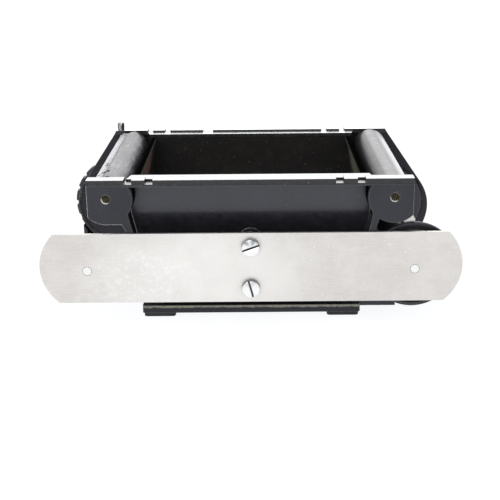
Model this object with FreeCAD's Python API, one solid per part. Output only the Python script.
import FreeCAD, Part
import math
import os

# Insert chassis of a 120 roll-film holder.  Millimetres.
# +X (right) towards the supply spool, +Y (far) towards the winding mechanism,
# +Z towards the film plane.
# Origin: on the resting plane of the foot pads, below the centre of the film gate.

os.makedirs("parts", exist_ok=True)

Vec = FreeCAD.Vector
SIDES = (-1, 1)

# ---------------------------------------------------------------- shared dimensions
CLEAR = 0.05             # radial running clearance

RAIL_TOP = 41.8          # top of the outer rails
RAIL_H = 1.55            # outer rail height
RAIL_HALF = 45.0         # half length of the outer rails
RAIL_OUT = 35.0          # outer face of the outer rails, |y|
RAIL_MID = 31.0          # joint between outer and inner rails, |y|
RAIL_END_RUN = 0.93      # the far rail's ends slope out by this much
RAIL_FOOT = RAIL_HALF + RAIL_END_RUN
INNER_TOP = RAIL_TOP - 0.65      # inner rails lie lower by the film channel depth
INNER_H = 1.25           # inner rail thickness

PLATE_T = 2.0            # side plate thickness
PLATE_TOP = RAIL_TOP - RAIL_H
PLATE_INNER = RAIL_OUT - PLATE_T     # inner face of the side plates, |y|
TAB_X = (15.0, 20.0)     # tabs from the side plates to the chamber, |x|
TAB_END = 24.0           # |y| before the tabs are trimmed by the chamber
TAB_Z = (6.6, 8.0)
RECESS_DEPTH = 0.6       # round recesses in the far plate's inner face

DOWEL_X = (-20.0, 0.0, 20.0)         # dowels between plates and rails
DOWEL_Y = RAIL_OUT - PLATE_T / 2
DOWEL_R = 0.6
DOWEL_DEPTH = 1.2        # depth in the rail
BAND_H = 0.45            # band of the near plate; also the dowels' depth in the plates

STUD_X, STUD_Y = -43.6, 33.0         # corner stud on the far rail
STUD_R = 0.7

SPOOL_X = 45.85          # spool axes, |x|
SPOOL_Z = 16.0
SPOOL_HALF = 32.7        # half length of a 120 film spool
SPOOL_BORE_R = 2.45

ROLL_X = 39.75           # roller axes, |x|
ROLL_Z = 36.4
ROLL_R = 5.3
ROLL_HALF = 30.8
ROLL_SHAFT_R = 1.5
ROLL_BUSH_R = 2.4
PIVOT_HEAD_R = 1.12      # pivot screws in the ears
PIVOT_HEAD_DEPTH = 0.6

RIVET_X, RIVET_Z = 41.6, 30.9        # rivet of the brake spring, in the right ear
RIVET_R = 0.6

BASE_HX, BASE_HY = 31.4, 31.0        # base frame half sizes
BASE_Z0, BASE_Z1 = 1.1, 3.4
BASE_HOLE_X, BASE_HOLE_Y = 26.45, 28.25   # holes through each foot pad
BASE_HOLE_R = 1.1
BASE_SCREWS = [(sx * 28.2, sy * 12.0) for sx in SIDES for sy in SIDES]
BASE_SCREW_R = 0.4
CRADLE_SCREWS = [(30.2, y) for y in (-18.0, 18.0)]
CRADLE_SCREW_R = 0.7

STRIP_Y, STRIP_T = -36.2, 1.0        # outer face and thickness of the spring strip
STRIP_BACK = STRIP_Y + STRIP_T
STRIP_SCREW_Z = (22.8, 10.7)

WIND_SHAFT_R = 2.5
WIND_BUSH_R = 4.0
SUPPLY_PIVOT_STEM_R = 1.6

MODULE = 0.4             # metering gears
PINION_T = 10
COUNTER_T = 50
COUNTER_DZ = -9.0        # counter gear axis below the roller axis
GEAR_DIST = (PINION_T + COUNTER_T) * MODULE / 2
COUNTER_X = -ROLL_X + math.sqrt(GEAR_DIST ** 2 - COUNTER_DZ ** 2)
COUNTER_Z = ROLL_Z + COUNTER_DZ
COUNTER_STUD_R = 1.2

# (x, z) of the screws through the mechanism housing into the far plate
HOUSE_SCREWS = ((-13.5, 31.0), (26.0, 31.0), (-24.0, 8.0), (54.5, 8.4), (16.0, 8.0))
HOUSE_SCREW_R = 0.8


# ---------------------------------------------------------------- helpers
def save(name, shape):
    if not isinstance(shape, Part.Compound):
        shape = shape.removeSplitter()
    shape.exportStep("parts/" + name + ".step")


def save_group(name, shapes):
    save(name, Part.makeCompound(shapes))


def box(xa, xb, ya, yb, za, zb):
    """Box between two limits on each axis, given in either order."""
    x0, x1 = sorted((xa, xb))
    y0, y1 = sorted((ya, yb))
    z0, z1 = sorted((za, zb))
    return Part.makeBox(x1 - x0, y1 - y0, z1 - z0, Vec(x0, y0, z0))


def cyl_y(x, z, radius, ya, yb):
    """Cylinder along Y, its ends given in either order."""
    y0, y1 = sorted((ya, yb))
    return Part.makeCylinder(radius, y1 - y0, Vec(x, y0, z), Vec(0, 1, 0))


def cyl_z(x, y, radius, z0, height):
    return Part.makeCylinder(radius, height, Vec(x, y, z0))


def ring_y(x, z, outer_r, inner_r, ya, yb):
    y0, y1 = sorted((ya, yb))
    return cyl_y(x, z, outer_r, y0, y1).cut(cyl_y(x, z, inner_r, y0 - 1, y1 + 1))


def prism(points, travel):
    """Polygon through the points, closed and extruded."""
    return Part.Face(Part.makePolygon(points + points[:1])).extrude(travel)


def prism_y(outline, y0, y1):
    """Closed (x, z) outline extruded along Y."""
    return prism([Vec(x, y0, z) for x, z in outline], Vec(0, y1 - y0, 0))


def turned_slot(x, z, half_length, half_width, y0, y1, angle):
    """Screwdriver slot turned about Y by the angle, from +X towards +Z."""
    slot = box(-half_length, half_length, y0, y1, -half_width, half_width)
    slot.rotate(Vec(0, 0, 0), Vec(0, 1, 0), -angle)
    slot.translate(Vec(x, 0, z))
    return slot


def edges_along(shape, axis):
    """Straight edges parallel to the axis."""
    return [e for e in shape.Edges
            if isinstance(e.Curve, Part.Line) and abs(abs(e.Curve.Direction.dot(axis)) - 1) < 1e-6]


def edges_at_y(shape, y):
    """Edges lying wholly in the plane y."""
    return [e for e in shape.Edges
            if abs(e.BoundBox.YMin - y) < 1e-5 and abs(e.BoundBox.YMax - y) < 1e-5]


def dress(shape, method, size, edges):
    """Fillet or chamfer; guards against edge sets the kernel refuses, leaving them sharp."""
    try:
        dressed = getattr(shape, method)(size, edges)
        if dressed.isValid() and dressed.Volume > 0:
            return dressed
    except Exception:
        pass
    return shape


def try_fillet(shape, radius, edges):
    return dress(shape, "makeFillet", radius, edges)


def try_chamfer(shape, size, edges):
    return dress(shape, "makeChamfer", size, edges)


# ---------------------------------------------------------------- rails
NOTCH_DEPTH = 1.2
NOTCHES = (-33.6, -27.8, 24.6, 30.6)         # notch centres, x
NEAR_NOTCH_W = 2.2
FAR_NOTCH_W = 1.8
WIDE_NOTCH = (-14.3, 3.4)                    # far rail only: centre, width

INNER_HALF = 34.4                            # half length at the joint with the outer rail
INNER_GATE_HALF = INNER_HALF - 0.9           # half length at the gate, ends chamfered
GATE_NEAR = -26.4                            # gate edges, y
GATE_FAR = 27.8


def outer_rail(side):
    y0, y1 = sorted((side * RAIL_OUT, side * RAIL_MID))
    foot_z = RAIL_TOP - RAIL_H
    if side < 0:
        rail = box(-RAIL_HALF, RAIL_HALF, y0, y1, foot_z, RAIL_TOP)
        notches = [(x, NEAR_NOTCH_W) for x in NOTCHES]
    else:
        rail = prism_y([(-RAIL_HALF, RAIL_TOP), (RAIL_HALF, RAIL_TOP),
                        (RAIL_FOOT, foot_z), (-RAIL_FOOT, foot_z)], y0, y1)
        notches = [(x, FAR_NOTCH_W) for x in NOTCHES] + [WIDE_NOTCH]
    for x, width in notches:
        rail = rail.cut(box(x - width / 2, x + width / 2, y0 - 1, y1 + 1,
                            RAIL_TOP - NOTCH_DEPTH, RAIL_TOP + 1))
    for x in DOWEL_X:
        rail = rail.cut(cyl_z(x, side * DOWEL_Y, DOWEL_R, foot_z, DOWEL_DEPTH))
    if side > 0:
        rail = rail.cut(cyl_z(STUD_X, STUD_Y, STUD_R, foot_z - 1, RAIL_H + 2))
    return rail


def inner_rail(y0, half0, y1, half1):
    """Trapezium in plan, with its half lengths at y0 and y1."""
    z0 = INNER_TOP - INNER_H
    outline = [(-half0, y0), (half0, y0), (half1, y1), (-half1, y1)]
    return prism([Vec(x, y, z0) for x, y in outline], Vec(0, 0, INNER_TOP - z0))


save("near_outer_rail", outer_rail(-1))
save("far_outer_rail", outer_rail(1))
save("near_inner_rail", inner_rail(-RAIL_MID, INNER_HALF, GATE_NEAR, INNER_GATE_HALF))
save("far_inner_rail", inner_rail(GATE_FAR, INNER_GATE_HALF, RAIL_MID, INNER_HALF))


# ---------------------------------------------------------------- light chamber
CHAMBER_BOTTOM = BASE_Z1
# outer form at each height: (z, half x, half y)
CHAMBER_SECTIONS = [
    (CHAMBER_BOTTOM, 28.6, 25.6),
    (16.0, 31.2, 26.6),
    (24.5, 32.5, 27.4),
    (31.4, 33.9, 28.4),
    (INNER_TOP - INNER_H, 32.6, 28.6),       # walls end under the inner rails
]
CHAMBER_T = 1.1
LINING_T = 0.35
BOSS_Y = -28.6           # near face of the bosses behind the strip screws
BOSS_R = 3.0


def section_wire(section, inset):
    z, half_x, half_y = section
    x, y = half_x - inset, half_y - inset
    return Part.makePolygon([Vec(-x, -y, z), Vec(x, -y, z), Vec(x, y, z), Vec(-x, y, z),
                             Vec(-x, -y, z)])


def chamber_form(inset):
    """Stack of ruled segments, every wall moved inwards by the inset."""
    form = None
    for lower, upper in zip(CHAMBER_SECTIONS[:-1], CHAMBER_SECTIONS[1:]):
        wires = [section_wire(lower, inset), section_wire(upper, inset)]
        segment = Part.makeLoft(wires, True, True)
        form = segment if form is None else form.fuse(segment)
    return form.removeSplitter()


def chamber_cutter(inset):
    """The inset form, run past both ends."""
    ends = []
    for (z, half_x, half_y), z0, z1 in ((CHAMBER_SECTIONS[0], -2, 0.001),
                                        (CHAMBER_SECTIONS[-1], -0.001, 2)):
        x, y = half_x - inset, half_y - inset
        ends.append(box(-x, x, -y, y, z + z0, z + z1))
    return chamber_form(inset).fuse(ends)


CHAMBER_OUTER = chamber_form(0.0)


def light_chamber():
    chamber = CHAMBER_OUTER.cut(chamber_cutter(CHAMBER_T))
    for z in STRIP_SCREW_Z:
        boss = cyl_y(0, z, BOSS_R, BOSS_Y, -25.0)
        boss = boss.cut(chamber_cutter(CHAMBER_T - 0.001))
        chamber = chamber.fuse(boss)
        chamber = chamber.cut(cyl_y(0, z, 1.0, -29.0, -26.3))
    chamber = chamber.removeSplitter()
    # the base screws enter the end walls from below
    for x, y in BASE_SCREWS:
        chamber = chamber.cut(cyl_z(x, y, BASE_SCREW_R, CHAMBER_BOTTOM - 0.1, 1.2))
    return chamber


def chamber_lining():
    return chamber_form(CHAMBER_T).cut(chamber_cutter(CHAMBER_T + LINING_T)).removeSplitter()


save("light_chamber", light_chamber())
save("chamber_lining", chamber_lining())


# ---------------------------------------------------------------- near side plate
EAR_R = 7.3
BAR_HALF = 30.5
BAR_Z = (6.4, 8.1)
# (x, z) outlines of the struts from the ears down to the cross bar
STRUT_LEFT = [
    (-38.5, 29.08), (-35.7, 29.15), (-34.1, 26.2), (-31.2, 6.4), (-29.4, 6.4),
    (-32.5, 26.2), (-33.9, 31.4), (-33.3, 34.0), (-38.5, 34.0),
]
STRUT_RIGHT = [
    (38.5, 31.0), (35.9, 30.4), (34.4, 26.2), (31.2, 6.4), (29.4, 6.4),
    (32.7, 26.2), (34.0, 31.4), (33.4, 34.0), (38.5, 34.0),
]


def ear(side, y0, y1):
    """Round below the roller axis, squared off at the rail's end and top."""
    disc = cyl_y(side * ROLL_X, ROLL_Z, EAR_R, y0, y1)
    disc = disc.common(box(side * RAIL_HALF, side * (ROLL_X - EAR_R - 1), y0, y1,
                           ROLL_Z - EAR_R - 1, PLATE_TOP))
    return disc.fuse(box(side * RAIL_HALF, side * (ROLL_X - EAR_R), y0, y1, ROLL_Z, PLATE_TOP))


def near_side_plate():
    y0, y1 = -RAIL_OUT, -PLATE_INNER
    plate = box(-RAIL_HALF, RAIL_HALF, y0, y1, PLATE_TOP - BAND_H, PLATE_TOP)
    for side, strut in ((-1, STRUT_LEFT), (1, STRUT_RIGHT)):
        plate = plate.fuse([ear(side, y0, y1), prism_y(strut, y0, y1)])
    plate = plate.fuse(box(-BAR_HALF, BAR_HALF, y0, y1, *BAR_Z)).removeSplitter()
    for side in SIDES:
        plate = plate.fuse(box(side * TAB_X[0], side * TAB_X[1], y1 - 0.001, -TAB_END, *TAB_Z))
    plate = plate.removeSplitter()
    # pivot screw holes with recesses for the heads
    for side in SIDES:
        x = side * ROLL_X
        plate = plate.cut(cyl_y(x, ROLL_Z, 1.0, y0 - 1, y1 + 1))
        plate = plate.cut(cyl_y(x, ROLL_Z, PIVOT_HEAD_R + 0.03, y0 - 1, y0 + PIVOT_HEAD_DEPTH))
    for x in DOWEL_X:
        plate = plate.cut(cyl_z(x, -DOWEL_Y, DOWEL_R, PLATE_TOP - 2, 3.0))
    plate = plate.cut(cyl_y(RIVET_X, RIVET_Z, RIVET_R, y0 - 1, y1 + 1))
    # trim the tabs at the chamber wall
    return plate.cut(CHAMBER_OUTER)


save("near_side_plate", near_side_plate())


# ---------------------------------------------------------------- far side plate
# lobe centre |x|, centre z, radius
SUPPLY_LOBE = (46.2, 14.2, 14.6)
WIND_LOBE = (45.6, 15.6, 14.0)       # smaller, so the winding wheel's rim stands out beyond it
FAR_BOTTOM = 3.6
RECESS_R = 13.1


def shoulder_tangent(centre_x, centre_z, radius):
    """Point where the line from the right top corner touches the outside of the lobe."""
    dx, dz = RAIL_FOOT - centre_x, PLATE_TOP - centre_z
    angle = math.atan2(dz, dx) - math.acos(radius / math.hypot(dx, dz))
    return centre_x + radius * math.cos(angle), centre_z + radius * math.sin(angle)


def lobed_blank(lobe, y0, y1):
    """Plate with flat top, sloping shoulders, two equal lobes and flat bottom."""
    centre_x, centre_z, radius = lobe
    tangent_x, tangent_z = shoulder_tangent(*lobe)
    bottom_x = centre_x + radius * math.cos(math.asin((FAR_BOTTOM - centre_z) / radius))

    def point(x, z):
        return Vec(x, y0, z)

    top_l, top_r = point(-RAIL_FOOT, PLATE_TOP), point(RAIL_FOOT, PLATE_TOP)
    side_l, side_r = point(-tangent_x, tangent_z), point(tangent_x, tangent_z)
    low_l, low_r = point(-bottom_x, FAR_BOTTOM), point(bottom_x, FAR_BOTTOM)
    wire = Part.Wire([
        Part.makeLine(top_l, top_r),
        Part.makeLine(top_r, side_r),
        Part.Arc(side_r, point(centre_x + radius, centre_z), low_r).toShape(),
        Part.makeLine(low_r, low_l),
        Part.Arc(low_l, point(-centre_x - radius, centre_z), side_l).toShape(),
        Part.makeLine(side_l, top_l),
    ])
    return Part.Face(wire).extrude(Vec(0, y1 - y0, 0))


def far_side_plate():
    y0, y1 = PLATE_INNER, RAIL_OUT
    # each half takes its own lobe
    right, left = [lobed_blank(lobe, y0, y1).common(box(0, x_end, y0 - 1, y1 + 1, -5, 60))
                   for lobe, x_end in ((SUPPLY_LOBE, 80), (WIND_LOBE, -80))]
    plate = right.fuse(left).removeSplitter()
    for side in SIDES:
        plate = plate.cut(cyl_y(side * SPOOL_X, SPOOL_Z, RECESS_R, y0 - 1, y0 + RECESS_DEPTH))
    # through holes: roller bushes, winding bush, supply pivot, counter stud, housing screws
    holes = [(side * ROLL_X, ROLL_Z, ROLL_BUSH_R) for side in SIDES]
    holes.append((-SPOOL_X, SPOOL_Z, WIND_BUSH_R))
    holes.append((SPOOL_X, SPOOL_Z, SUPPLY_PIVOT_STEM_R))
    holes.append((COUNTER_X, COUNTER_Z, COUNTER_STUD_R))
    holes += [(x, z, HOUSE_SCREW_R) for x, z in HOUSE_SCREWS]
    for x, z, radius in holes:
        plate = plate.cut(cyl_y(x, z, radius, y0 - 1, y1 + 1))
    for x in DOWEL_X:
        plate = plate.cut(cyl_z(x, DOWEL_Y, DOWEL_R, PLATE_TOP - 2, 3.0))
    plate = plate.cut(cyl_z(STUD_X, STUD_Y, STUD_R, PLATE_TOP - 1.0, 2.0))
    for side in SIDES:
        plate = plate.fuse(box(side * TAB_X[0], side * TAB_X[1], TAB_END, y0 + 0.001, *TAB_Z))
    # trim the tabs at the chamber wall
    return plate.removeSplitter().cut(CHAMBER_OUTER)


save("far_side_plate", far_side_plate())


# ---------------------------------------------------------------- base frame and pads
BASE_CORNER_R = 1.2
BASE_OPEN_X, BASE_OPEN_Y = 27.0, 24.0        # half sizes of the opening
PAD_X = (21.9, 31.0)                         # |x| and |y| limits of the foot pads
PAD_Y = (25.6, 30.9)
PAD_CORNER_R = 0.9
BASE_HEAD_R = 1.1
BASE_HEAD_Z = BASE_Z0 + 0.05                 # underside of the base screw heads
BASE_STEM_Z = BASE_Z0 + 1.0
BASE_STEM_TOP = BASE_Z1 + 0.9


def base_frame():
    frame = box(-BASE_HX, BASE_HX, -BASE_HY, BASE_HY, BASE_Z0, BASE_Z1)
    frame = frame.makeFillet(BASE_CORNER_R, edges_along(frame, Vec(0, 0, 1)))
    frame = frame.cut(box(-BASE_OPEN_X, BASE_OPEN_X, -BASE_OPEN_Y, BASE_OPEN_Y,
                          BASE_Z0 - 1, BASE_Z1 + 1))
    for sx in SIDES:
        for sy in SIDES:
            frame = frame.cut(cyl_z(sx * BASE_HOLE_X, sy * BASE_HOLE_Y, BASE_HOLE_R, 0.5, 4.0))
    # counterbored from below for the base screws
    for x, y in BASE_SCREWS:
        frame = frame.cut(cyl_z(x, y, BASE_SCREW_R, 0.5, 4.0))
        frame = frame.cut(cyl_z(x, y, BASE_HEAD_R + 0.05, BASE_Z0 - 0.1, 1.2))
    for x, y in CRADLE_SCREWS:
        frame = frame.cut(cyl_z(x, y, CRADLE_SCREW_R, 0.5, 4.0))
    near_top_edges = [e for e in frame.Edges
                      if abs(e.BoundBox.ZMin - BASE_Z1) < 1e-5
                      and abs(e.BoundBox.ZMax - BASE_Z1) < 1e-5
                      and abs(e.BoundBox.YMin + BASE_HY) < 1e-4
                      and abs(e.BoundBox.YMax + BASE_HY) < 1e-4]
    return try_chamfer(frame, 0.25, near_top_edges)


def foot_pad(sx, sy):
    pad = box(sx * PAD_X[0], sx * PAD_X[1], sy * PAD_Y[0], sy * PAD_Y[1], 0.0, BASE_Z0)
    pad = pad.makeFillet(PAD_CORNER_R, edges_along(pad, Vec(0, 0, 1)))
    return pad.cut(cyl_z(sx * BASE_HOLE_X, sy * BASE_HOLE_Y, BASE_HOLE_R, -1.0, 3.0))


def base_screw(x, y):
    """Holds the frame to a chamber end wall; slotted head below."""
    head = cyl_z(x, y, BASE_HEAD_R, BASE_HEAD_Z, 1.0)
    head = head.cut(box(x - 0.2, x + 0.2, y - 2, y + 2, BASE_Z0, BASE_Z0 + 0.45))
    return head.fuse(cyl_z(x, y, BASE_SCREW_R, BASE_STEM_Z, BASE_STEM_TOP - BASE_STEM_Z))


save("base_frame", base_frame())
save_group("foot_pads", [foot_pad(sx, sy) for sx in SIDES for sy in SIDES])
save_group("base_screws", [base_screw(x, y) for x, y in BASE_SCREWS])


# ---------------------------------------------------------------- spring strip
STRIP_HALF = 59.15
STRIP_H = 20.35
STRIP_Z = 16.65          # middle of the strip's height
STRIP_END_R = 13.4
STRIP_END_Z = 16.95      # centre height of the rounded ends
STRIP_SPLIT = 8.0        # half length of the centre piece
PIN_RIVET_R = 1.25
PIN_FLANGE_R = 3.4
PIN_R = 2.3
PIN_TIP_R = 1.6
PIN_TIP_Y = -30.2
HEAD_R, HEAD_H = 2.55, 1.5
SLOT_ANGLES = (20.0, 105.0)      # one for each strip screw
STANDOFF_FLANGE_Y = -29.3


def spring_strip():
    """Whole strip: straight edges and rounded ends."""
    z0, z1 = STRIP_Z - STRIP_H / 2, STRIP_Z + STRIP_H / 2
    strip = box(-STRIP_HALF, STRIP_HALF, STRIP_Y, STRIP_BACK, z0, z1)
    end_x = STRIP_HALF - STRIP_END_R
    middle = box(-end_x, end_x, STRIP_Y, STRIP_BACK, z0, z1)
    right, left = [cyl_y(x, STRIP_END_Z, STRIP_END_R, STRIP_Y, STRIP_BACK)
                   for x in (end_x, -end_x)]
    strip = strip.common(middle.fuse(right.fuse(left))).removeSplitter()
    holes = [(side * SPOOL_X, SPOOL_Z, PIN_RIVET_R) for side in SIDES]
    holes += [(0, z, 1.6) for z in STRIP_SCREW_Z]
    for x, z, radius in holes:
        strip = strip.cut(cyl_y(x, z, radius, STRIP_Y - 1, STRIP_BACK + 1))
    return strip


def spool_pin(side):
    """Riveted into the strip: flange, shank and tapered, rounded tip."""
    x = side * SPOOL_X
    shank_y = STRIP_BACK + 1.0
    pin = cyl_y(x, SPOOL_Z, PIN_RIVET_R, STRIP_Y, STRIP_BACK)
    pin = pin.fuse(cyl_y(x, SPOOL_Z, PIN_FLANGE_R, STRIP_BACK, shank_y))
    pin = pin.fuse(cyl_y(x, SPOOL_Z, PIN_R, shank_y, -SPOOL_HALF))
    pin = pin.fuse(Part.makeCone(PIN_R, PIN_TIP_R, PIN_TIP_Y + SPOOL_HALF,
                                 Vec(x, -SPOOL_HALF, SPOOL_Z), Vec(0, 1, 0)))
    pin = pin.removeSplitter()
    return try_fillet(pin, 0.4, edges_at_y(pin, PIN_TIP_Y))


def strip_screw(z, angle):
    """Slotted cheese-head screw."""
    head_y = STRIP_Y - HEAD_H
    head = cyl_y(0, z, HEAD_R, head_y, STRIP_Y)
    head = head.makeFillet(0.3, edges_at_y(head, head_y))
    head = head.cut(turned_slot(0, z, 4, 0.25, head_y - 1, head_y + 0.7, angle))
    return head.fuse(cyl_y(0, z, 0.98, STRIP_Y, -26.6)).removeSplitter()


def strip_standoff(z):
    """Narrow tube with a round flange against the chamber boss."""
    tube = cyl_y(0, z, 2.2, STRIP_BACK, STANDOFF_FLANGE_Y)
    tube = tube.fuse(cyl_y(0, z, 3.45, STANDOFF_FLANGE_Y, BOSS_Y))
    return tube.cut(cyl_y(0, z, 1.05, STRIP_Y, -28.0)).removeSplitter()


STRIP = spring_strip()
for part, x0, x1 in (("centre", -STRIP_SPLIT, STRIP_SPLIT),
                     ("right", STRIP_SPLIT, 80),
                     ("left", -80, -STRIP_SPLIT)):
    save("spring_strip_" + part,
         STRIP.common(box(x0, x1, STRIP_Y - 1, STRIP_BACK + 1, 0, 40)))
save("supply_spool_pin", spool_pin(1))
save("take_up_spool_pin", spool_pin(-1))
save_group("strip_screws", [strip_screw(z, a) for z, a in zip(STRIP_SCREW_Z, SLOT_ANGLES)])
save_group("strip_standoffs", [strip_standoff(z) for z in STRIP_SCREW_Z])


# ---------------------------------------------------------------- rollers
CORE_R = 3.9             # metal core of the metering roller
PLUG_R = 4.3             # end plugs of the guide roller
PIVOT_STEM_END = -31.6   # the pivot screw's stem narrows to its pivot here


def roller_tube(x, bore_r):
    """Outer tube of a roller, with rounded outer end edges."""
    tube = ring_y(x, ROLL_Z, ROLL_R, bore_r, -ROLL_HALF, ROLL_HALF)
    end_edges = edges_at_y(tube, -ROLL_HALF) + edges_at_y(tube, ROLL_HALF)
    return tube.makeFillet(0.35, [e for e in end_edges
                                  if e.BoundBox.XLength > 2 * ROLL_R - 0.5])


def roller_shaft(x, far_end):
    """Shaft with a blind pivot bore in its near end."""
    shaft = cyl_y(x, ROLL_Z, ROLL_SHAFT_R, -ROLL_HALF - 0.2, far_end)
    return shaft.cut(cyl_y(x, ROLL_Z, 0.75, -ROLL_HALF - 1, -ROLL_HALF + 2.6))


def guide_roller_plug(side):
    return ring_y(ROLL_X, ROLL_Z, PLUG_R, ROLL_SHAFT_R,
                  side * (ROLL_HALF - 0.5), side * (ROLL_HALF - 4.5))


def pivot_screw(x, angle):
    """Slotted head, threaded stem, slim pivot in the shaft end."""
    head_back = -RAIL_OUT + PIVOT_HEAD_DEPTH
    head = cyl_y(x, ROLL_Z, PIVOT_HEAD_R, -RAIL_OUT + 0.05, head_back)
    head = head.cut(turned_slot(x, ROLL_Z, 3, 0.15, -RAIL_OUT - 1, -RAIL_OUT + 0.35, angle))
    stem = cyl_y(x, ROLL_Z, 0.99, head_back, PIVOT_STEM_END)
    pivot = cyl_y(x, ROLL_Z, 0.70, PIVOT_STEM_END, -ROLL_HALF + 2.0)
    return head.fuse([stem, pivot]).removeSplitter()


def roller_bush(side):
    """Flanged bush in the far plate."""
    x = side * ROLL_X
    bore_r = ROLL_SHAFT_R + CLEAR
    bush = ring_y(x, ROLL_Z, ROLL_BUSH_R, bore_r, PLATE_INNER, RAIL_OUT)
    flange = ring_y(x, ROLL_Z, 3.2, bore_r, PLATE_INNER - 0.6, PLATE_INNER)
    return bush.fuse(flange).removeSplitter()


# left: metering roller, a sleeve on a core with a through shaft carrying the pinion
save("metering_roller_sleeve", roller_tube(-ROLL_X, CORE_R))
save("metering_roller_core",
     ring_y(-ROLL_X, ROLL_Z, CORE_R, ROLL_SHAFT_R, -ROLL_HALF, ROLL_HALF))
save("metering_roller_shaft", roller_shaft(-ROLL_X, 42.6))
# right: guide roller, a tube with two end plugs on a shaft
save("guide_roller_tube", roller_tube(ROLL_X, PLUG_R))
save_group("guide_roller_plugs", [guide_roller_plug(side) for side in SIDES])
save("guide_roller_shaft", roller_shaft(ROLL_X, 34.6))
save_group("roller_pivot_screws", [pivot_screw(-ROLL_X, 35), pivot_screw(ROLL_X, 75)])
save_group("roller_bushes", [roller_bush(side) for side in SIDES])


# ---------------------------------------------------------------- supply spool
FLANGE_R = 12.5          # 120 film spool flange
FLANGE_T = 1.3
FLANGE_RIM = 1.3         # width of the raised outer rim
FLANGE_DISH = 0.45       # depth of the ring recess inside the rim
SPOOL_CORE_R = 5.6
FAR_PIVOT_TIP = 29.6


def supply_spool():
    spool = cyl_y(SPOOL_X, SPOOL_Z, SPOOL_CORE_R, -SPOOL_HALF, SPOOL_HALF)
    for side in SIDES:
        flange = cyl_y(SPOOL_X, SPOOL_Z, FLANGE_R,
                       side * SPOOL_HALF, side * (SPOOL_HALF - FLANGE_T))
        flange = flange.cut(ring_y(SPOOL_X, SPOOL_Z, FLANGE_R - FLANGE_RIM, 7.2,
                                   side * (SPOOL_HALF - FLANGE_DISH),
                                   side * (SPOOL_HALF + 0.5)))
        spool = spool.fuse(flange)
    spool = spool.cut(cyl_y(SPOOL_X, SPOOL_Z, SPOOL_BORE_R, -SPOOL_HALF - 1, SPOOL_HALF + 1))
    # key slots in both ends
    for side in SIDES:
        spool = spool.cut(box(SPOOL_X - 1.2, SPOOL_X + 1.2,
                              side * (SPOOL_HALF + 1), side * (SPOOL_HALF - 2.2),
                              SPOOL_Z - 4.4, SPOOL_Z + 4.4))
    # film slot through the core
    spool = spool.cut(box(SPOOL_X - 0.5, SPOOL_X + 0.5, -16.0, 16.0, SPOOL_Z - 8, SPOOL_Z + 8))
    return spool.removeSplitter()


def supply_far_pivot():
    """Pin riveted into the far plate."""
    shoulder_y = PLATE_INNER + RECESS_DEPTH
    pivot = cyl_y(SPOOL_X, SPOOL_Z, SPOOL_BORE_R - CLEAR, FAR_PIVOT_TIP, shoulder_y)
    pivot = pivot.fuse(cyl_y(SPOOL_X, SPOOL_Z, SUPPLY_PIVOT_STEM_R, shoulder_y, RAIL_OUT))
    pivot = pivot.fuse(cyl_y(SPOOL_X, SPOOL_Z, 2.4, RAIL_OUT, RAIL_OUT + 0.5))
    # the edges are picked on the solid before refining
    return try_chamfer(pivot.removeSplitter(), 0.4, edges_at_y(pivot, FAR_PIVOT_TIP))


save("supply_spool", supply_spool())
save("supply_far_pivot", supply_far_pivot())


# ---------------------------------------------------------------- supply brake spring
BRAKE_T = 0.4
BRAKE_Y = -PLATE_INNER           # the leaf lies on the inner face of the right ear
BRAKE_RIGHT = 45.9
BRAKE_BOTTOM = 28.95
# (x, z) outline of the leaf
BRAKE_OUTLINE = [
    (39.9, 30.2), (42.2, BRAKE_BOTTOM), (BRAKE_RIGHT, BRAKE_BOTTOM),
    (BRAKE_RIGHT, 29.5), (44.4, 32.2), (39.9, 32.2),
]


def supply_brake_spring():
    """Riveted leaf with a lug bent back over the flange rim."""
    leaf = prism_y(BRAKE_OUTLINE, BRAKE_Y, BRAKE_Y + BRAKE_T)
    lug = box(43.0, BRAKE_RIGHT, BRAKE_Y, BRAKE_Y + 3.2, BRAKE_BOTTOM, BRAKE_BOTTOM + BRAKE_T)
    spring = leaf.fuse(lug).removeSplitter()
    return spring.cut(cyl_y(RIVET_X, RIVET_Z, RIVET_R, BRAKE_Y - 1, BRAKE_Y + 2))


def brake_spring_rivet():
    back = BRAKE_Y + BRAKE_T
    rivet = cyl_y(RIVET_X, RIVET_Z, RIVET_R, -RAIL_OUT, back)
    return rivet.fuse(cyl_y(RIVET_X, RIVET_Z, 1.1, back, back + 0.5)).removeSplitter()


save("supply_brake_spring", supply_brake_spring())
save("brake_spring_rivet", brake_spring_rivet())


# ---------------------------------------------------------------- supply film cradle
CRADLE_HALF = 29.6       # half width in y
CRADLE_T = 0.55
CRADLE_R = 12.15         # inner radius about the supply spool
CRADLE_ANGLES = (-98, -123, -148)    # start, middle and end of the arc, degrees
CRADLE_LEFT = 29.2
LIP_T = 0.6


def cradle_arc_points(radius):
    return [Vec(SPOOL_X + radius * math.cos(math.radians(a)), -CRADLE_HALF,
                SPOOL_Z + radius * math.sin(math.radians(a))) for a in CRADLE_ANGLES]


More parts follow.
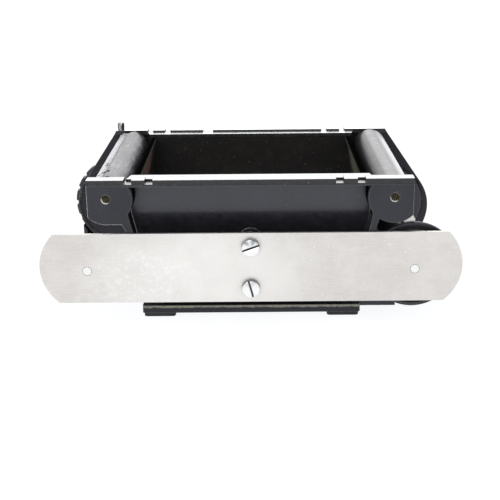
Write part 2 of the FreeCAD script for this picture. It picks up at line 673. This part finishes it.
def supply_cradle():
    """Thin leaf curved under the supply spool between its flanges."""
    y0, y1 = -CRADLE_HALF, CRADLE_HALF
    inner = cradle_arc_points(CRADLE_R)
    outer = cradle_arc_points(CRADLE_R + CRADLE_T)
    wire = Part.Wire([
        Part.Arc(*inner).toShape(),
        Part.makeLine(inner[2], outer[2]),
        Part.Arc(outer[2], outer[1], outer[0]).toShape(),
        Part.makeLine(outer[0], inner[0]),
    ])
    cradle = Part.Face(wire).extrude(Vec(0, y1 - y0, 0))
    # flat tongue on top of the base frame, reaching under the spool
    tongue = box(CRADLE_LEFT, 42.5, y0, y1, BASE_Z1, BASE_Z1 + CRADLE_T)
    tongue = tongue.cut(cyl_y(SPOOL_X, SPOOL_Z, CRADLE_R + 0.001, y0 - 1, y1 + 1))
    cradle = cradle.fuse(tongue).removeSplitter()
    cradle = cradle.common(box(CRADLE_LEFT, 60, y0, y1, BASE_Z1 - 0.9, 30))
    # lips turned down along both long edges, clear of the base frame
    for lip0, lip1 in ((y0, y0 + LIP_T), (y1 - LIP_T, y1)):
        cradle = cradle.fuse(box(BASE_HX + 0.05, 41.6, lip0, lip1, 2.5, BASE_Z1 + 0.3))
    cradle = cradle.cut(CHAMBER_OUTER).removeSplitter()
    for x, y in CRADLE_SCREWS:
        cradle = cradle.cut(cyl_z(x, y, CRADLE_SCREW_R, 2.5, 3))
    return cradle


def cradle_screw(x, y):
    head = cyl_z(x, y, 1.3, BASE_Z1 + CRADLE_T, 0.5)
    return head.fuse(cyl_z(x, y, CRADLE_SCREW_R, BASE_Z1 - 0.75, 1.3)).removeSplitter()


save("supply_cradle", supply_cradle())
save_group("cradle_screws", [cradle_screw(x, y) for x, y in CRADLE_SCREWS])


# ---------------------------------------------------------------- winding mechanism
WHEEL_R = 14.9
WHEEL_T = 3.0
WHEEL_Y = 35.5
WHEEL_FAR = WHEEL_Y + WHEEL_T
WHEEL_TEETH = 18
WHEEL_PHASE = math.radians(1.3)
WHEEL_NOTCH = 0.5        # notch depth
# one finger land and notch: (fraction of the pitch, depth below the rim)
WHEEL_PROFILE = [
    (0.0, WHEEL_NOTCH), (0.07, WHEEL_NOTCH - 0.08), (0.13, 0.10),
    (0.22, 0), (0.36, 0), (0.5, 0), (0.64, 0), (0.78, 0),
    (0.87, 0.10), (0.93, WHEEL_NOTCH - 0.08),
]
GROOVE_R = 1.9           # clip groove in the winding shaft
GROOVE_Y = (42.0, 42.6)
KEY_TIP = 28.7
KEY_FLANGE_Y = PLATE_INNER - 1.0


def winding_wheel():
    """Serrated rim, ring recess in the far face, hub."""
    rim = []
    for i in range(WHEEL_TEETH):
        for fraction, depth in WHEEL_PROFILE:
            angle = 2 * math.pi * (i + fraction) / WHEEL_TEETH + WHEEL_PHASE
            radius = WHEEL_R - depth
            rim.append((-SPOOL_X + radius * math.cos(angle),
                        SPOOL_Z + radius * math.sin(angle)))
    wheel = prism_y(rim, WHEEL_Y, WHEEL_FAR)
    wheel = wheel.cut(ring_y(-SPOOL_X, SPOOL_Z, 12.6, 6.2, WHEEL_Y + 2.0, WHEEL_FAR + 1))
    wheel = wheel.fuse(cyl_y(-SPOOL_X, SPOOL_Z, 5.0, WHEEL_FAR, 41.8))
    wheel = wheel.cut(cyl_y(-SPOOL_X, SPOOL_Z, WIND_SHAFT_R, WHEEL_Y - 1, WHEEL_Y + 8))
    return wheel.removeSplitter()


def winding_shaft():
    shaft = cyl_y(-SPOOL_X, SPOOL_Z, WIND_SHAFT_R, PLATE_INNER, 43.2)
    groove = ring_y(-SPOOL_X, SPOOL_Z, WIND_SHAFT_R + 1, GROOVE_R, *GROOVE_Y)
    return shaft.cut(groove).removeSplitter()


def take_up_drive_key():
    """Round nose with a flat blade for a spool's end slot."""
    key = cyl_y(-SPOOL_X, SPOOL_Z, 3.6, KEY_FLANGE_Y, PLATE_INNER)
    key = key.fuse(cyl_y(-SPOOL_X, SPOOL_Z, 2.3, KEY_TIP, KEY_FLANGE_Y))
    key = key.fuse(box(-SPOOL_X - 1.0, -SPOOL_X + 1.0, 30.6, KEY_FLANGE_Y,
                       SPOOL_Z - 4.1, SPOOL_Z + 4.1))
    # the edges are picked on the solid before refining
    return try_chamfer(key.removeSplitter(), 0.3, edges_at_y(key, KEY_TIP))


def winding_shaft_bush():
    return ring_y(-SPOOL_X, SPOOL_Z, WIND_BUSH_R, WIND_SHAFT_R + CLEAR,
                  PLATE_INNER + RECESS_DEPTH, RAIL_OUT + 0.3)


def shaft_retaining_clip():
    """Sits in the shaft groove, open downwards."""
    clip = ring_y(-SPOOL_X, SPOOL_Z, 3.9, GROOVE_R, GROOVE_Y[0] + 0.05, GROOVE_Y[1] - 0.05)
    return clip.cut(box(-SPOOL_X - 1.5, -SPOOL_X + 1.5, 41, 44, SPOOL_Z - 5, SPOOL_Z))


save("winding_wheel", winding_wheel())
save("winding_shaft", winding_shaft())
save("take_up_drive_key", take_up_drive_key())
save("winding_shaft_bush", winding_shaft_bush())
save("shaft_retaining_clip", shaft_retaining_clip())


# ---------------------------------------------------------------- metering gears
GEAR_Y = (39.6, 41.4)
# direction from the pinion to the counter gear; the phases make the teeth mesh along it
MESH_ANGLE = math.atan2(COUNTER_Z - ROLL_Z, COUNTER_X + ROLL_X)
COUNTER_HOLES = 5        # lightening holes
COUNTER_HOLE_RING_R = 6.4
COUNTER_HOLE_R = 2.2


def gear(x, z, teeth, phase, bore_r):
    pitch_r = teeth * MODULE / 2.0
    tip_r = pitch_r + 0.85 * MODULE
    root_r = pitch_r - 1.1 * MODULE
    pitch = 2 * math.pi / teeth
    # one tooth: (fraction of the pitch, radius)
    tooth = [(-0.31, root_r), (-0.215, pitch_r), (-0.10, tip_r),
             (0.10, tip_r), (0.215, pitch_r), (0.31, root_r)]
    outline = []
    for i in range(teeth):
        for fraction, radius in tooth:
            angle = 2 * math.pi * i / teeth + phase + fraction * pitch
            outline.append((x + radius * math.cos(angle), z + radius * math.sin(angle)))
    y0, y1 = GEAR_Y
    return prism_y(outline, y0, y1).cut(cyl_y(x, z, bore_r, y0 - 1, y1 + 1))


def counter_gear():
    wheel = gear(COUNTER_X, COUNTER_Z, COUNTER_T, MESH_ANGLE + math.pi, COUNTER_STUD_R + CLEAR)
    for i in range(COUNTER_HOLES):
        angle = 2 * math.pi * i / COUNTER_HOLES + 0.3
        wheel = wheel.cut(cyl_y(COUNTER_X + COUNTER_HOLE_RING_R * math.cos(angle),
                                COUNTER_Z + COUNTER_HOLE_RING_R * math.sin(angle),
                                COUNTER_HOLE_R, GEAR_Y[0] - 1, GEAR_Y[1] + 1))
    return wheel


def counter_stud():
    """Stud with a collar before the gear and a head beyond it."""
    stud = cyl_y(COUNTER_X, COUNTER_Z, COUNTER_STUD_R, PLATE_INNER, 41.9)
    stud = stud.fuse(ring_y(COUNTER_X, COUNTER_Z, 2.4, COUNTER_STUD_R, 38.9, GEAR_Y[0] - 0.15))
    stud = stud.fuse(cyl_y(COUNTER_X, COUNTER_Z, 2.0, GEAR_Y[1] + 0.15, 42.3))
    return stud.removeSplitter()


save("metering_pinion",
     gear(-ROLL_X, ROLL_Z, PINION_T, MESH_ANGLE + math.pi / PINION_T, ROLL_SHAFT_R))
save("counter_gear", counter_gear())
save("counter_stud", counter_stud())


# ---------------------------------------------------------------- mechanism housing
HOUSE_LEFT, HOUSE_RIGHT = -58.8, 60.0
HOUSE_TOP_HALF = 44.4
HOUSE_SHOULDER_Z = 18.2
HOUSE_BOTTOM = 1.0
HOUSE_TOP = 39.7
HOUSE_LOW = 38.45        # top of the low roof, below the rail notches' floors
HUMP_X = -36.7           # the roof is raised over the metering pinion, left of this
HOUSE_Y1 = 44.6
HOUSE_T = 1.2
HUMP_ROOF_T = 0.8
LOW_ROOF_T = 0.6


def house_outline(inset):
    """(x, z) outline of the housing, moved inwards; the roof by a smaller share."""
    top_x = HOUSE_TOP_HALF - 0.5 * inset
    top_z = HOUSE_TOP - inset * HUMP_ROOF_T / HOUSE_T
    shoulder_z = HOUSE_SHOULDER_Z - 0.35 * inset
    left, right = HOUSE_LEFT + inset, HOUSE_RIGHT - inset
    bottom = HOUSE_BOTTOM + inset
    return [(left, bottom), (right, bottom), (right, shoulder_z),
            (top_x, top_z), (-top_x, top_z), (left, shoulder_z)]


def mechanism_housing():
    y_axis = Vec(0, 1, 0)
    outer = prism_y(house_outline(0), RAIL_OUT, HOUSE_Y1)
    outer = try_fillet(outer, 2.5, [e for e in edges_along(outer, y_axis)
                                    if e.BoundBox.ZMax > HOUSE_BOTTOM + 3])
    outer = try_fillet(outer, 0.8, [e for e in edges_along(outer, y_axis)
                                    if e.BoundBox.ZMax < HOUSE_BOTTOM + 1])
    outer = outer.cut(box(HUMP_X, 70, RAIL_OUT - 1, HOUSE_Y1 + 1, HOUSE_LOW, HOUSE_TOP + 1))
    outer = outer.removeSplitter()
    outer = try_fillet(outer, 1.2, edges_at_y(outer, HOUSE_Y1))
    cavity = prism_y(house_outline(HOUSE_T), RAIL_OUT - 1, HOUSE_Y1 - HOUSE_T)
    cavity = try_fillet(cavity, 1.3, edges_along(cavity, y_axis))
    cavity = cavity.cut(box(HUMP_X - 0.5, 70, RAIL_OUT - 2, HOUSE_Y1 + 1,
                            HOUSE_LOW - LOW_ROOF_T, HOUSE_TOP + 1))
    housing = outer.cut(cavity)
    # opening for the winding wheel's rim
    housing = housing.cut(cyl_y(-SPOOL_X, SPOOL_Z, WHEEL_R + 0.6, RAIL_OUT - 1, WHEEL_FAR + 0.7))
    for x, z in HOUSE_SCREWS:
        housing = housing.fuse(cyl_y(x, z, 2.2, RAIL_OUT, HOUSE_Y1 - HOUSE_T))
    housing = housing.removeSplitter()
    for x, z in HOUSE_SCREWS:
        housing = housing.cut(cyl_y(x, z, HOUSE_SCREW_R + 0.1, RAIL_OUT - 1, HOUSE_Y1 + 1))
        housing = housing.cut(cyl_y(x, z, 1.75, HOUSE_Y1 - 1.0, HOUSE_Y1 + 1))
    return housing.removeSplitter()


def housing_screw(x, z):
    head = cyl_y(x, z, 1.7, HOUSE_Y1 - 1.0, HOUSE_Y1 - 0.1)
    head = head.cut(box(x - 3, x + 3, HOUSE_Y1 - 0.55, HOUSE_Y1 + 1, z - 0.2, z + 0.2))
    stem = cyl_y(x, z, HOUSE_SCREW_R, PLATE_INNER + 0.3, HOUSE_Y1 - 1.0)
    return head.fuse(stem).removeSplitter()


save("mechanism_housing", mechanism_housing())
save_group("housing_screws", [housing_screw(x, z) for x, z in HOUSE_SCREWS])


# ---------------------------------------------------------------- corner stud and dowels
def corner_stud():
    """Slotted head standing on the far rail's left end."""
    stud = cyl_z(STUD_X, STUD_Y, STUD_R, PLATE_TOP - 0.6, 2.6)
    stud = stud.fuse(cyl_z(STUD_X, STUD_Y, 1.1, RAIL_TOP, 2.3))
    stud = stud.cut(box(STUD_X - 2, STUD_X + 2, STUD_Y - 0.22, STUD_Y + 0.22,
                        RAIL_TOP + 1.35, RAIL_TOP + 4))
    return stud.removeSplitter()


save("corner_stud", corner_stud())
save_group("rail_dowels",
           [cyl_z(x, side * DOWEL_Y, DOWEL_R, PLATE_TOP - BAND_H, BAND_H + DOWEL_DEPTH)
            for side in SIDES for x in DOWEL_X])
